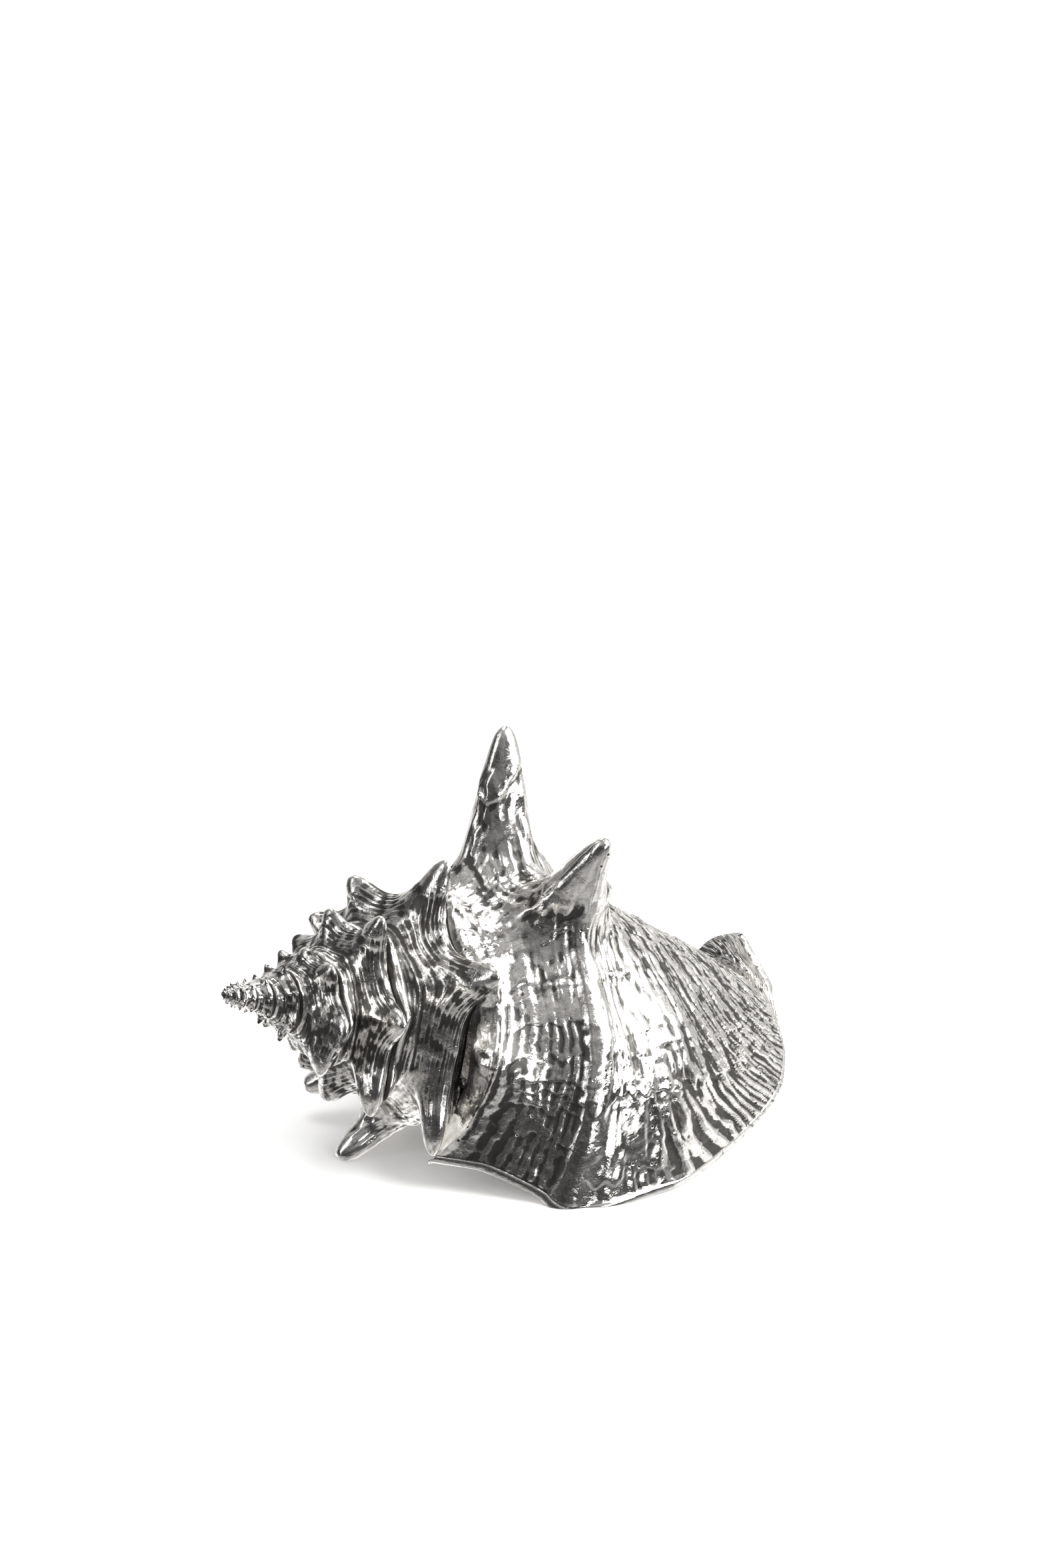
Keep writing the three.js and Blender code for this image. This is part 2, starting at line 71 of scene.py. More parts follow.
SHOULDER_ALONG, SHOULDER_OUT = 139, 73.5
SUTURE_ALONG, SUTURE_OUT = 152, 68.5
LAST_REACH = 0.14
CANAL_END = 285
CANAL_DRAW_BACK = 12
AXIS_PITCH = math.radians(16.2)
RAMP_ALONG, RAMP_OUT = 0.52, 0.42
BODY_OUT = (1, 0.965, 0.86, 0.69, 0.5, 0.33, 0.2)
BODY_ALONG = (0, 0.09, 0.28, 0.5, 0.7, 0.87, 1)
FASCIOLE = 0.62
SUTURE_LANE = 3
SHOULDER_LANE = 2
CANAL_LANE = 6.6  # joint between the last whorl's walls and the canal
CANAL_START = (6.2, 7)  # lanes over which the lip turns into the canal
LAST_LANE = 8
BAR_END, BAR_END_OUT = 262, 3.4  # the far end of the core in the axis, which fixes the frame

# The lip's edge: lane, distance along the axis, coil angle, radius.
LIP_EDGE = (
    (0, 100, 139, 76),
    (0.6, 100, 139, 76),
    (1, 117, 128.5, 86.5),
    (1.6, 134, 124.5, 100),
    (2, 145, 123, 111.5),
    (3, 165, 117.5, 118),
    (4, 192, 112.5, 115.5),
    (5, 240, 110, 90),
    (6, 272, 101, 69),
    (6.5, 282, 95, 58),
    (7, 289, 86, 47),
    (7.33, 290, 56, 36),
    (7.66, 286, 27, 35),
    (8, 282, 2, 41.5),
)
FLARE_START = ((0, 20), (2, 20), (5, -20), (7, -60), (8, -190))
FLARE_POWER = ((0, 1.9), (7, 1.9), (8, 1))

# A spine's height, as a share, by distance from its middle, as a share of its width: most are
# cones, and a few are round-ended fingers.
CONE = (
    (0.14, 1),
    (0.28, 0.965),
    (0.45, 0.88),
    (0.6, 0.75),
    (0.8, 0.55),
    (1, 0.37),
    (1.3, 0.2),
    (1.8, 0.08),
    (2.4, 0.025),
    (3.4, 0),
)
FINGER = (
    (0.14, 1),
    (0.3, 0.98),
    (0.42, 0.92),
    (0.5, 0.82),
    (0.57, 0.68),
    (0.64, 0.5),
    (0.74, 0.34),
    (0.95, 0.19),
    (1.3, 0.08),
    (2, 0.02),
    (3.4, 0),
)
SPINE_ROUNDING, SPINE_REACH = CONE[0][0], CONE[-1][0]

# Spines: turns before the lip's turn, then the tip's distance along the axis, coil angle and
# radius, the width that the profiles above are scaled by, and how far the spine leans round the
# coil from its root, in degrees.
SPINES = {
    "dorsal": (0, 131, -6, 131, 12.5, 0),
    "shoulder": (0, 143, 33, 121, 11.5, 0),
    "back": (0, 122, -100, 66, 11, 0),
    "tail": (0, 97, -140, 78, 13.5, 0),
    "foot": (1, 90, 181, 77.5, 13.5, 0),
    "crown_1": (1, 99, 133, 75, 14.5, 15),
    "crown_2": (1, 98, 61, 80, 10.5, 0),
    "crown_3": (1, 92, 15, 77.5, 10, 0),
    "crown_4": (1, 76, -27, 57, 9, 0),
    "crown_5": (1, 73, -62, 52, 8, 0),
    "crown_6": (1, 76, -105, 50, 7.5, 0),
    "crown_7": (1, 72, -148, 48, 7.5, 0),
    "ring_1": (2, 69, 174, 47, 11, 0),
    "ring_2": (2, 68, 130, 57, 15, 16),
    "ring_3": (2, 66, 80, 54.5, 8, 0),
    "ring_4": (2, 61, 28, 54.5, 8, 0),
    "ring_5": (2, 57, -15, 41, 7, 0),
    "ring_6": (2, 57, -60, 37, 6, 0),
    "ring_7": (2, 58, -105, 36, 6, 0),
    "ring_8": (2, 60, -150, 36, 6, 0),
    "ring_9": (3, 46, 131, 38.5, 10, 10),
    "ring_10": (3, 47, 88, 38.5, 7.5, 0),
    "ring_11": (3, 44, 44, 31, 6.5, 0),
    "ring_12": (3, 42, 2, 24, 6, 0),
}
FINGERS = ("tail", "foot", "crown_1", "ring_2")
SMALL_FROM, SMALL_TO, SMALL_STEP = -3.44, -9.4, 0.1384  # the rest of the row, to the apex
SMALL_ALONG, SMALL_OUT, SMALL_WIDTH = 133, 93, 12.5
SPINE_SPAN = 0.16  # turns over which one spine is felt
WALL = 3.6
WALL_TAPER = 0.8  # how the wall thins with the coil towards the apex
FLOOR_DROP = 98  # the flats it rests on lie this far below the apex

# Soft swellings of the last whorl: place (along, angle, out), radius, shift.
SWELLINGS = (
    ((117, 97, 57), 15, (-3.6, -8.5, 1)),
    ((108, 93, 58), 8, (-2.2, -3.6, 0.4)),
    ((109, 110, 55), 9, (-1, -5.5, -2)),
    ((163, 37, 86), 12, (2, -4.5, 8.5)),
)

# The ridge from the shoulder spine to the lip: lanes of its foot, crest, crest and foot.
KEEL_LANES = (1.74, 1.82, 1.98, 2.5)
KEEL_GROWTH = (-0.25, -0.15)  # where it rises
KEEL_HEIGHT = 2.2
LIP_CURL, LIP_CURL_TURNS, LIP_CURL_POWER = 3.0, 0.03, 1.5  # the lip's edge turns outwards

# Lane to millimetres across the cords, measured where they are widest apart.
CORD_SCALE = ((0, 0), (2, 34), (3, 58), (4, 87), (5, 141), (6, 181), (6.6, 200), (8, 230))


def ease(a, b, x):
    """0 below a, 1 above b, smooth between."""
    t = np.clip((x - a) / (b - a), 0, 1)
    return t * t * (3 - 2 * t)


def band(x, a, b, c, d):
    """0 up to a, 1 from b to c, 0 from d, smooth between."""
    return ease(a, b, x) * (1 - ease(c, d, x))


def size(growth):
    return WHORL_RATIO**growth


def growth_at(angle, turns_back=0):
    return (angle - LIP_ANGLE) / 360 - turns_back


def table_curve(rows, column):
    """A curve through a table's points that doesn't overshoot between them."""
    at = np.array([row[0] for row in rows], float)
    value = np.array([row[column] for row in rows], float)
    rise = np.diff(value) / np.diff(at)
    before = np.concatenate([rise[:1], rise])
    after = np.concatenate([rise, rise[-1:]])
    same = before * after > 0
    slope = np.where(same, 2 * before * after / np.where(same, before + after, 1), 0)

    def curve(x):
        k = np.clip(np.searchsorted(at, x, side="right") - 1, 0, len(at) - 2)
        width = at[k + 1] - at[k]
        f = (x - at[k]) / width
        return (
            value[k] * (1 + 2 * f) * (1 - f) ** 2
            + slope[k] * width * f * (1 - f) ** 2
            + value[k + 1] * f * f * (3 - 2 * f)
            + slope[k + 1] * width * f * f * (f - 1)
        )

    return curve


lip_along = table_curve(LIP_EDGE, 1)
lip_angle = table_curve(LIP_EDGE, 2)
lip_out = table_curve(LIP_EDGE, 3)
flare_start = table_curve(FLARE_START, 1)
flare_power = table_curve(FLARE_POWER, 1)
cone, finger = table_curve(CONE, 1), table_curve(FINGER, 1)
cord_scale = table_curve(CORD_SCALE, 1)


def slimness(growth):
    spire = np.exp(0.12 * np.minimum(growth + 1.9, 0)) * (2 - ease(-8.6, -5.4, growth))
    flat = ease(-0.78, -0.6, growth) * (1 - ease(-0.5, -0.3, growth))
    return spire * (1 - 0.11 * flat)


def reach(growth):
    return 1 + LAST_REACH * ease(-1.15, -0.4, growth)


def through_lanes(values, lane):
    """A Catmull-Rom value through evenly spaced lanes."""
    values = np.stack(values)
    i = np.clip(np.floor(lane).astype(int), 0, len(values) - 2)
    f = lane - i

    def at(k):
        k = np.clip(k, 0, len(values) - 1)
        return np.take_along_axis(values, k[None], 0)[0]

    b, c = at(i), at(i + 1)
    a = np.where(i == 0, 2 * b - c, at(i - 1))
    d = np.where(i == len(values) - 2, 2 * c - b, at(i + 2))
    bend = 2 * a - 5 * b + 4 * c - d
    return 0.5 * (2 * b + (c - a) * f + bend * f * f + (3 * b - a - 3 * c + d) * f**3)


def section(growth, lane):
    """Distance along the axis and radius of the whorl's section, before flare and spines."""
    scale = size(growth) * reach(growth)
    shoulder_along = SHOULDER_ALONG * scale
    shoulder_out = SHOULDER_OUT * size(growth) * slimness(growth)
    start_along = SUTURE_ALONG * size(growth - 1) * reach(growth - 1)
    start_out = SUTURE_OUT * size(growth - 1) * slimness(growth - 1)
    body = ease(-1.4, -1.02, growth)
    draw_back = CANAL_DRAW_BACK * (1 - ease(-1, -0.2, growth))
    end = CANAL_END * size(growth) * (1 - body) + (CANAL_END - draw_back) * body
    under = ease(-1.05, -0.9, growth) * (1 - ease(-0.72, -0.55, growth))
    along = [start_along, start_along + (shoulder_along - start_along) * RAMP_ALONG]
    out = [start_out, start_out + (shoulder_out - start_out) * RAMP_OUT]
    for i, (share, far) in enumerate(zip(BODY_OUT, BODY_ALONG)):
        swell = 1 + FASCIOLE * under * ease(3, 5, i)
        along.append(shoulder_along + (end - shoulder_along) * far)
        out.append(shoulder_out * share * swell)
    along[SUTURE_LANE] = SUTURE_ALONG * scale
    out[SUTURE_LANE] = SUTURE_OUT * size(growth) * slimness(growth)
    return through_lanes(along, lane), through_lanes(out, lane)


def around(along, angle, out):
    a = np.radians(angle)
    return np.stack(np.broadcast_arrays(along, -out * np.sin(a), out * np.cos(a)), -1)


def plain_shell(growth, lane):
    """The shell without its spines, and the stage that each point's coil angle stands for."""
    growth, lane = np.broadcast_arrays(np.asarray(growth, float), np.asarray(lane, float))
    start = flare_start(lane)
    start_growth = growth_at(start)
    done = np.clip((growth - start_growth) / -start_growth, 0, 1)
    angle = np.where(done > 0, start + (lip_angle(lane) - start) * done, LIP_ANGLE + 360 * growth)
    stage = growth_at(angle)
    flare = done ** flare_power(lane) * ease(0, 0.6, lane)
    along, out = section(stage, lane)
    along = along + (lip_along(lane) - along) * flare
    out = out + (lip_out(lane) - out) * flare
    return around(along, angle, out), stage


def all_spines():
    made = []
    for name, (turns_back, along, angle, out, width, lean) in SPINES.items():
        stage = growth_at(angle - lean, turns_back)
        profile = finger if name in FINGERS else cone
        made.append((stage, around(along, angle, out), width, profile))
    for k in range(int((SMALL_FROM - SMALL_TO) / SMALL_STEP) + 1):
        stage = SMALL_FROM - k * SMALL_STEP
        scale = size(stage) * slimness(stage)
        tip = around(SMALL_ALONG * size(stage), LIP_ANGLE + 360 * stage, SMALL_OUT * scale)
        made.append((stage, tip, SMALL_WIDTH * scale, cone))
    spines = []
    for stage, tip, width, profile in made:
        root = plain_shell([[stage]], [[SHOULDER_LANE]])[0][0, 0]
        spines.append((stage, tip - root, width, profile))
    return spines


spines = all_spines()


def spine_lift(stage, lane):
    """How far the spines lift each point, and how near it is to a tip, 0 to 1."""
    lift = np.zeros(stage.shape + (3,))
    tip = np.zeros(stage.shape)
    for own_stage, rise, width, profile in spines:
        near = np.abs(stage - own_stage) < SPINE_SPAN
        rows = np.flatnonzero(near.any(axis=1))
        if not len(rows):
            continue
        at = slice(rows[0], rows[-1] + 1)
        scale = size(own_stage)
        shoulder_out = SHOULDER_OUT * scale * slimness(own_stage)
        across = (stage[at] - own_stage) * 2 * np.pi * shoulder_out
        lane_width = np.where(lane[at] < SHOULDER_LANE, 20, 13) * scale
        down = (lane[at] - SHOULDER_LANE) * lane_width
        distance = np.hypot(np.hypot(across, down) / width, SPINE_ROUNDING)
        height = profile(np.minimum(distance, SPINE_REACH))
        height = height * ease(0.02, 0.8, lane[at]) * near[at]
        lift[at] += height[..., None] * rise
        tip[at] = np.maximum(tip[at], height)
    return lift, tip


def outside(growth, lane):
    """The outer surface before its fine relief. The upper suture follows the whorl before."""
    point, stage = plain_shell(growth, lane)
    lane = np.broadcast_to(lane, stage.shape)
    lift, tip = spine_lift(stage, lane)
    joined, _ = spine_lift(stage - 1, np.full(stage.shape, float(SUTURE_LANE)))
    point = point + lift + joined * (1 - ease(0, 0.8, lane))[..., None]
    for place, radius, shift in SWELLINGS:
        centre = around(*place)
        share = np.exp(-((point - centre) ** 2).sum(-1) / radius**2) * (stage > -0.5)
        point = point + share[..., None] * np.array(shift)
    outward = unit(point * (0, 1, 1))
    foot, crest, fall, end = KEEL_LANES
    keel = band(lane, foot, crest, fall, end) * ease(*KEEL_GROWTH, growth)
    curl = (ease(-LIP_CURL_TURNS, 0, growth) ** LIP_CURL_POWER) * ease(0.6, 1.6, lane)
    curl = curl * (1 - ease(*CANAL_START, lane))
    point = point + outward * (KEEL_HEIGHT * keel + LIP_CURL * curl)[..., None]
    return point, tip


def inside(growth, lane):
    """The inner surface: the plain shell moved in by the wall's thickness."""
    wall = WALL * np.minimum(1, size(growth + 1) ** WALL_TAPER)
    g0, g1 = growth - 0.01, np.minimum(growth + 0.01, 0)
    l0, l1 = np.maximum(lane - 0.5, 0), np.minimum(lane + 0.5, LAST_LANE)
    along_coil = plain_shell(g1, lane)[0] - plain_shell(g0, lane)[0]
    across_coil = plain_shell(growth, l1)[0] - plain_shell(growth, l0)[0]
    inward = unit(np.cross(across_coil, along_coil))
    return plain_shell(growth, lane)[0] + inward * wall[..., None]


def unit(v):
    return v / (np.linalg.norm(v, axis=-1, keepdims=True) + 1e-12)


# ---------------------------------------------------------------- fine relief
def scatter(ix, iy, iz, seed):
    """A repeatable number from -1 to 1 for each cell."""
    n = ix * np.uint32(73856093) ^ iy * np.uint32(19349663) ^ iz * np.uint32(83492791)
    n = (n ^ np.uint32(seed * 2654435761 % 2**32)) * np.uint32(1274126177)
    n = (n ^ (n >> np.uint32(13))) * np.uint32(2246822519)
    return ((n ^ (n >> np.uint32(16))) & np.uint32(0xFFFF)).astype(float) / 32767.5 - 1


def noise(points, wavelength, seed):
    """Smooth noise from -1 to 1 over points, one blob to a wavelength."""
    p = points / wavelength
    cell = np.floor(p)
    f = p - cell
    f = f * f * (3 - 2 * f)
    i = cell.astype(np.int64).astype(np.uint32)
    total = 0
    for corner in range(8):
        step = [corner & 1, corner >> 1 & 1, corner >> 2]
        weight = 1
        for axis in range(3):
            weight = weight * (f[..., axis] if step[axis] else 1 - f[..., axis])
        at = [i[..., axis] + np.uint32(step[axis]) for axis in range(3)]
        total = total + weight * scatter(*at, seed)
    return total


def line_scatter(cell, seed):
    """A repeatable number from -1 to 1 for each whole number."""
    i = cell.astype(np.int64).astype(np.uint32)
    zero = np.zeros_like(i)
    return scatter(i, zero, zero, seed)


def line_noise(x, seed):
    """Smooth noise along one line."""
    cell = np.floor(x)
    f = x - cell
    f = f * f * (3 - 2 * f)
    return line_scatter(cell, seed) * (1 - f) + line_scatter(cell + 1, seed) * f


def ridges(x):
    """Rounded ridges of height 1, one to a unit."""
    return 0.5 + 0.5 * np.cos(2 * np.pi * x)


def cord_strength(x, seed):
    """How strong each cord is, 0.4 to 1."""
    return 0.7 + 0.3 * line_scatter(np.round(x), seed)


GROWTH_MM = 2 * np.pi * SHOULDER_OUT / np.log(WHORL_RATIO)  # length grown, at growth 0
STEPS = (
    (-0.15, 2.2, 3.6, 0.7),
    (-0.062, 2.3, 5.2, 1.1),
    (-0.118, 0.7, 2.0, 0.55),
    (-0.092, 0.5, 2.0, 0.4),
    (-0.075, 0.7, 2.0, 0.6),
    (-0.064, 0.9, 2.0, 0.5),
    (-0.053, 0.8, 2.2, 0.6),
    (-0.034, 0.8, 2.4, 0.4),
    (-0.016, 1.8, 5.0, 0.5),
    (-0.2, 3.0, 5.0, 0.5),
    (-0.27, 0.6, 1.8, 0.5),
)  # growth steps: growth, lanes from and to, height
KEEL_EDGE = 1.78  # the lane that divides the facet's cords from the flank's
CORD_PITCH, SECOND_PITCH, FLUTE_PITCH = (2.5, 3.6), (1.25, 1.7), 5.4  # facet and flank
BRIGHT_LANES = (2, 2.3, 3.6, 4.6)  # the smooth face on the other side of the keel
DORSAL_GROWTH = -0.32
FOLD_FACING = (-0.782, -0.384, 0.493)  # the fold across the dorsal spine: its plane
FOLD_AT, FOLD_LIFT = -54, 0.9
EDGE_BEAD, EDGE_LIFT = 3.4, 0.45  # the rounded bead along the lip's edge: width, height


def facet_share(growth, lane):
    """Where the flat facet left of the keel is, 0 to 1."""
    return band(lane, 0.3, 0.6, 1.7, 1.8) * ease(-0.16, -0.1, growth)


def fan(growth, lane):
    """How many lanes the cords right of the keel have spread by, on their way to the lip."""
    most, first, decay, turns = 1.9, 2.2, 2.6, 0.16
    spread = most * (1 - np.exp(-np.maximum(lane - first, 0) / decay))
    return spread * np.clip((growth + turns) / turns, 0, 1) ** 1.5


def relief(growth, lane, point, tip):
    """Height of the fine relief: undulations, growth wrinkles, cords, flutes and growth steps."""
    local = np.minimum(1, size(growth + 1))
    q = point / local[..., None]
    grown = GROWTH_MM * size(growth) / local
    smooth_tip = ease(0.6, 0.9, tip)
    patchy = 0.5 + 0.5 * noise(q, 12, 3)
    facet = facet_share(growth, lane)
    last = ease(-1, -0.75, growth)
    ramp = (1 - ease(1.3, 2, lane)) * last * (1 - facet)
    height = 0.7 * noise(q, 19, 1) + 0.5 * noise(q, 8.5, 2) * (0.4 + patchy) * (1 - 0.6 * facet)
    height = height * (1 - 0.55 * ramp)
    height = height + 0.3 * noise(q, 4.2, 11) * (0.3 + patchy) * (1 - 0.8 * smooth_tip)

    # Growth wrinkles: short broken ridges across the coil.
    drift = 1.1 * noise(q, 13, 4) + 0.35 * noise(q, 4.5, 12)
    wrinkle = line_noise(grown / 1.9 + drift, 5) + 0.8 * line_noise(grown / 4 + drift, 6)
    broken = 0.5 + 0.5 * noise(q, 5, 13)
    slope = (1 - ease(1.3, 2.5, lane)) * (1 - facet) * (0.15 + 0.85 * last)
    wrinkle = wrinkle * broken
    flank = ease(2.2, 2.8, lane) * last
    wrinkled = 0.1 + 0.06 * last + (0.3 * slope + 0.16 * flank) * patchy
    height = height + wrinkle * wrinkled * (1 - 0.85 * smooth_tip)

    # Cords along the coil, beaded where the wrinkles cross them.
    across = cord_scale(np.maximum(lane - fan(growth, lane), 0))
    wander = 0.5 * noise(q, 24, 7) + 0.16 * noise(q, 7, 14)
    fine = across / np.where(lane < KEEL_EDGE, *CORD_PITCH) + wander
    second = across / np.where(lane < KEEL_EDGE, *SECOND_PITCH) + 1.7 * wander
    beads = 0.55 + 0.45 * np.clip(1.4 * wrinkle, -1, 1)
    share = 0.45 * (1 + 0.5 * ease(3, 4.2, lane) * last) * (0.35 + 0.65 * ease(0.25, 0.7, patchy))
    share = share * (0.65 + 0.35 * last + 1.8 * facet + 0.5 * flank + 0.6 * ramp)
    cords = ridges(fine) ** (1 + facet) * cord_strength(fine, 8)
    cords = cords + 0.35 * ridges(second) * cord_strength(second, 15) * (1 - facet)
    height = height + share * cords * (beads + facet * (1 - beads) * 0.5) * (1 - smooth_tip)

    # Broken facets drawn out along the cords.
    laid = np.stack([across / 4.2 + wander, grown / 12, 0.3 * grown / 12], -1)
    facets = noise(laid, 1, 16) + 0.7 * noise(laid * (2.1, 2.6, 1), 1, 17)
    rough = 0.3 + 0.7 * last - 0.8 * facet * last + 0.45 * flank
    height = height + 0.5 * facets * rough * (1 - smooth_tip)

    # Broad flutes that run out to the lip's edge, each starting at its own stage.
    flutes = across / FLUTE_PITCH + 0.8 * wander
    start = -0.062 + 0.02 * line_scatter(np.round(flutes), 18)
    right = band(lane, 3, 4.4, *CANAL_START)
    deep = 2.2 * right * (0.2 * ease(-0.3, -0.1, growth) + 0.8 * ease(start, start + 0.02, growth))
    wave = ridges(flutes) ** 1.3 * cord_strength(flutes, 9)
    height = height + deep * (wave - 0.4) * (0.5 + 0.5 * patchy)

    for at, low, high, drop in STEPS:
        there = band(lane, low - 0.2, low + 0.2, high - 0.3, high + 0.3)
        past = (growth - at) * 2 * np.pi * SHOULDER_OUT + 2.2 * noise(q, 6, 10) + 1.5 * wave
        height = height - drop * there * ease(0, 1.4, past) * np.exp(-np.maximum(past, 0) / 18)

    # The keel and the faces beside it are smoother.
    on_keel = band(lane, *KEEL_LANES[:2], 2.05, 2.3) * ease(*KEEL_GROWTH, growth)
    beside = band(lane, *BRIGHT_LANES) * ease(-0.16, -0.08, growth)
    height = height * (1 - 0.4 * facet) * (1 - 0.55 * on_keel) * (1 - 0.35 * beside)

    # The dorsal spine's smooth end laps over the rest of it.
    over = point @ np.array(FOLD_FACING) - FOLD_AT + 1.5 * noise(q, 9, 19)
    near = (np.abs(growth - DORSAL_GROWTH) < 0.1) * ease(0.25, 0.4, tip)
    height = height + FOLD_LIFT * ease(0, 1.2, over) * near

    # The canal's horn is smooth.
    height = height * (1 - 0.6 * ease(6.4, 7, lane) * last)

    # The bead along the lip's edge.
    inwards = -growth * 2 * np.pi * 1.12 * np.hypot(point[..., 1], point[..., 2])
    held = band(lane, 0.3, 0.7, 6.6, 7.2)
    height = height * (1 - 0.8 * held * (1 - ease(EDGE_BEAD, 1.6 * EDGE_BEAD, inwards)))
    round_off = np.sqrt(np.clip(1 - (2 * inwards / EDGE_BEAD - 1) ** 2, 0, 1))
    groove = 0.15 * np.exp(-(((inwards - 1.15 * EDGE_BEAD) / 0.9) ** 2))
    height = height + held * (EDGE_LIFT * round_off - groove)
    return height * local * (1 - 0.5 * smooth_tip)


# ---------------------------------------------------------------- meshes
def pitched(v):
    """A direction turned from the coil's frame to the part's."""
    c, s = math.cos(AXIS_PITCH), math.sin(AXIS_PITCH)
    return np.stack([v[..., 0] * c + v[..., 2] * s, v[..., 1], -v[..., 0] * s + v[..., 2] * c], -1)


def to_part(points):
    """Coil frame to the part's frame: pitched, then moved so that the core's end meets the CAD."""
    low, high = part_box("columella")
    core_end = pitched(np.array([BAR_END, 0, BAR_END_OUT]))
    dx = high[0] * 1000 - core_end[0]
    dy = (low[1] + high[1]) / 2 * 1000
    return pitched(points) + np.array([dx, dy, FLOOR_DROP])


def even_stops(low, high, count, speed):
    """Stops between low and high, closer together where speed, sampled evenly, is high."""
    total = np.concatenate([[0], np.cumsum((speed[1:] + speed[:-1]) / 2)])
    return np.interp(np.linspace(0, total[-1], count + 1), total, np.linspace(low, high, len(speed)))


def speeds(growth_range, lane_range):
    """How fast the surface runs along growth and along lane, for spacing a grid's lines."""
    g = np.linspace(*growth_range, 500)
    u = np.linspace(*lane_range, 90)
    p, _ = outside(g[:, None], u[None])
    along = np.linalg.norm(np.gradient(p, axis=0), axis=-1) / (g[1] - g[0])
    across = np.linalg.norm(np.gradient(p, axis=1), axis=-1) / (u[1] - u[0])
    high = np.percentile(along, 97, axis=1) + along.mean(axis=1)
    wide = np.percentile(across, 97, axis=0) + across.mean(axis=0)
    return high**0.85, wide**0.85


def grid_normals(p):
    return unit(np.cross(np.gradient(p, axis=0), np.gradient(p, axis=1)))


def blurred(h, reach_cells):
    for axis in (0, 1):
        pad = [(0, 0), (0, 0)]
        pad[axis] = (reach_cells + 1, reach_cells)
        total = np.cumsum(np.pad(h, pad, mode="edge"), axis=axis)
        width = 2 * reach_cells + 1
        if axis == 0:
            h = (total[width:] - total[:-width]) / width
        else:
            h = (total[:, width:] - total[:, :-width]) / width
    return h


GHOST = 0.0006  # turns beyond a grid's ends, so that neighbouring grids get the same normals


def skin(growths, lanes, plain=False):
    """Points, normals and darkening (0 to 1) of the outer surface on a grid of growths and lanes:
    antique residue in the relief's hollows, with painted shade along the sutures.
    """
    last = growths[-1] >= 0
    rows = np.concatenate([[growths[0] - GHOST], growths, [] if last else [growths[-1] + GHOST]])
    g, u = np.broadcast_arrays(rows[:, None], lanes[None])
    if plain:
        p, tip = plain_shell(g, u)[0], np.zeros(g.shape)
    else:
        p, tip = outside(g, u)
    seam = ease(0, 0.22, u)
    if lanes[-1] <= SUTURE_LANE:
        seam = seam * (1 - ease(SUTURE_LANE - 0.22, SUTURE_LANE, u))
    local = np.minimum(1, size(g + 1))
    height = relief(g, u, p, tip) * seam - 0.9 * local * (1 - seam)
    if plain:
        height = height * 0.3
    p = p + grid_normals(p) * height[..., None]
    # The darkening for the colour: antique residue in the relief's hollows, and painted shade in the
    # sunk crease along each suture, fading out towards the lip.
    fold = 0.8 - 0.75 * ease(-0.25, -0.15, g)
    deep = (blurred(height, 9) - height) / (0.55 * local) + (1 - seam) * fold
    deep = deep + 0.35 * (blurred(height, 3) - height) / (0.2 * local)
    spire = 1 - ease(-1.1, -0.9, g)
    # Painted shade in bands along the sutures: below the upper suture on every whorl, and above the
    # lower suture on the spire. The spire is darker all over as well.
    suture_shade = 1 - ease(0.1, 1.4, u) + ease(2.4, 3, u) * spire
    base = 0.29 + 0.37 * spire + suture_shade * (0.12 * (1 - ease(-0.2, -0.1, g)) + 0.2 * spire)
    facet = facet_share(g, u)
    late = ease(-0.3, -0.2, g)
    bright = band(u, *BRIGHT_LANES) * late
    fluted = band(u, 3, 4.2, *CANAL_START) * late
    # The facet left of the keel and the flutes are darker, and the smooth face beside the keel is
    # lighter.
    base = base + 0.22 * facet - 0.12 * bright + 0.08 * fluted
    tall = ease(-0.6, -0.5, g)
    polish = 0.3 * ease(0.5 - 0.35 * tall, 0.9 - 0.3 * tall, tip)
    contrast = 0.8 + 0.5 * facet + 0.4 * spire - 0.15 * bright + 0.4 * fluted
    # Residue in the hollows, rubbed off the spine tips, plus the painted shade along the sutures.
    recess = np.clip(base + contrast * deep - polish, 0, 1)
    n = grid_normals(p)
    keep = slice(1, None if last else -1)
    return p[keep], n[keep], recess[keep]


